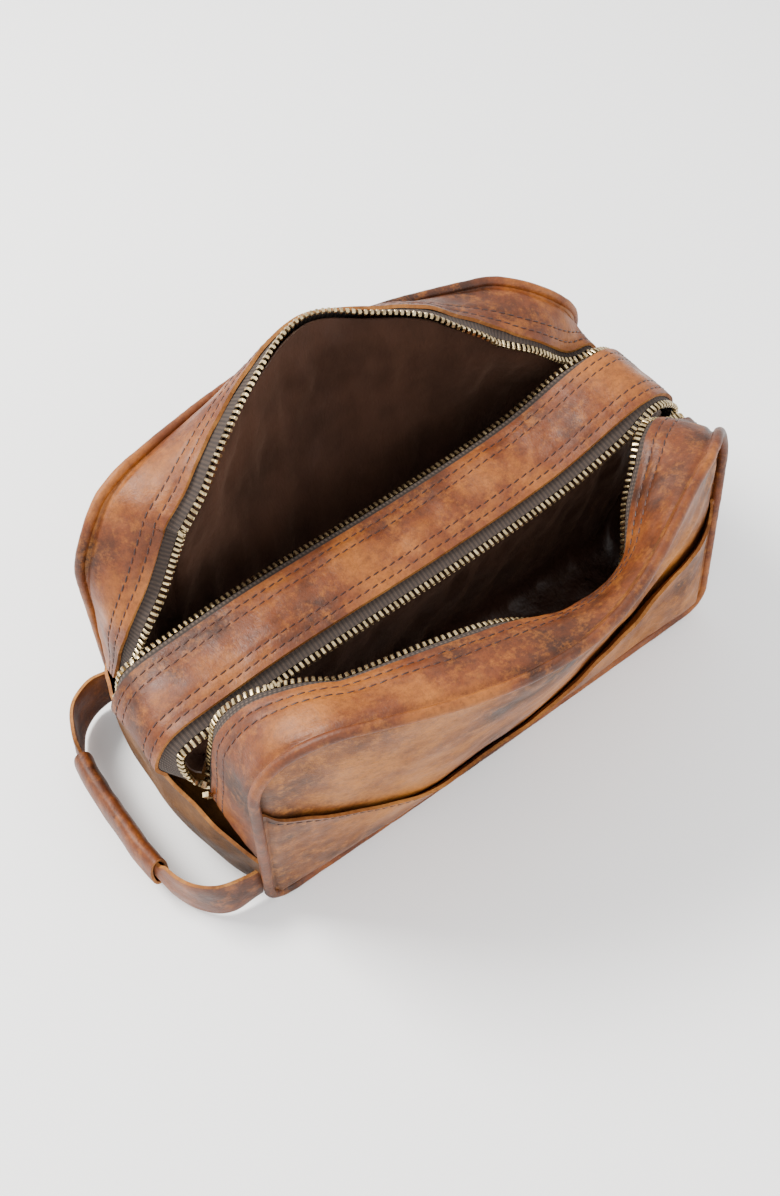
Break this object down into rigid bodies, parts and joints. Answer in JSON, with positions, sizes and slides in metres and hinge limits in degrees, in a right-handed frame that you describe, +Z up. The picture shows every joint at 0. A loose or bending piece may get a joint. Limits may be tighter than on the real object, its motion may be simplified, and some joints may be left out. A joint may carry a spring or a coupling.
{
  "type": "shaving kit bag",
  "caption": "Soft leather wash bag with two zipped compartments, a front pocket, piped walls and a side carrying handle, standing open.",
  "frame": {"origin": "on the ground under the middle of the bag's base", "axes": "+X along the bag away from the handle, -Y the front wall with the pocket, +Z up"},
  "size_m": [0.3107, 0.1983, 0.173],
  "materials": {
    "leather": "waxed pull-up leather, brown, satin",
    "lining": "dark brown satin lining",
    "zip_tape": "woven dark brown zip tape",
    "zip_metal": "antique brass, brushed"
  },
  "bodies": {
    "bag": {"front_panel": "leather", "rear_panel": "leather", "front_pocket": "leather", "front_piping": "leather", "rear_piping": "leather", "front_strip": "leather", "middle_strip": "leather", "rear_strip": "leather", "end_piece": "leather", "front_lining": "lining", "front_zip_outer_tape": "zip_tape", "front_zip_outer_teeth": "zip_metal", "front_zip_inner_tape": "zip_tape", "front_zip_inner_teeth": "zip_metal", "front_zip_top_stops": "zip_metal", "front_zip_bottom_stop": "zip_metal", "rear_lining": "lining", "rear_zip_outer_tape": "zip_tape", "rear_zip_outer_teeth": "zip_metal", "rear_zip_inner_tape": "zip_tape", "rear_zip_inner_teeth": "zip_metal", "rear_zip_top_stops": "zip_metal", "rear_zip_bottom_stop": "zip_metal"},
    "front_slider": {"front_zip_slider": "zip_metal"},
    "rear_slider": {"rear_zip_slider": "zip_metal"},
    "front_pull": {"front_zip_pull": "zip_metal"},
    "rear_pull": {"rear_zip_pull": "zip_metal"},
    "handle": {"handle_strap": "leather", "handle_grip": "leather"}
  },
  "joints": [
    {"name": "front_slider_travel", "type": "slide", "parent": "bag", "child": "front_slider", "axis": [0, 0, 1], "range_m": [0, 0.016]},
    {"name": "rear_slider_travel", "type": "slide", "parent": "bag", "child": "rear_slider", "axis": [0, 0, 1], "range_m": [0, 0.016]},
    {"name": "front_pull_swing", "type": "hinge", "parent": "front_slider", "child": "front_pull", "pos_m": [0.136, -0.0244, 0.0715], "axis": [0, -1, 0], "range_deg": [0, 150]},
    {"name": "rear_pull_swing", "type": "hinge", "parent": "rear_slider", "child": "rear_pull", "pos_m": [0.136, 0.0244, 0.0715], "axis": [0, -1, 0], "range_deg": [0, 150]},
    {"name": "handle_lift", "type": "hinge", "parent": "bag", "child": "handle", "pos_m": [-0.134, 0, 0.017], "axis": [0, 1, 0], "range_deg": [0, 35]}
  ]
}
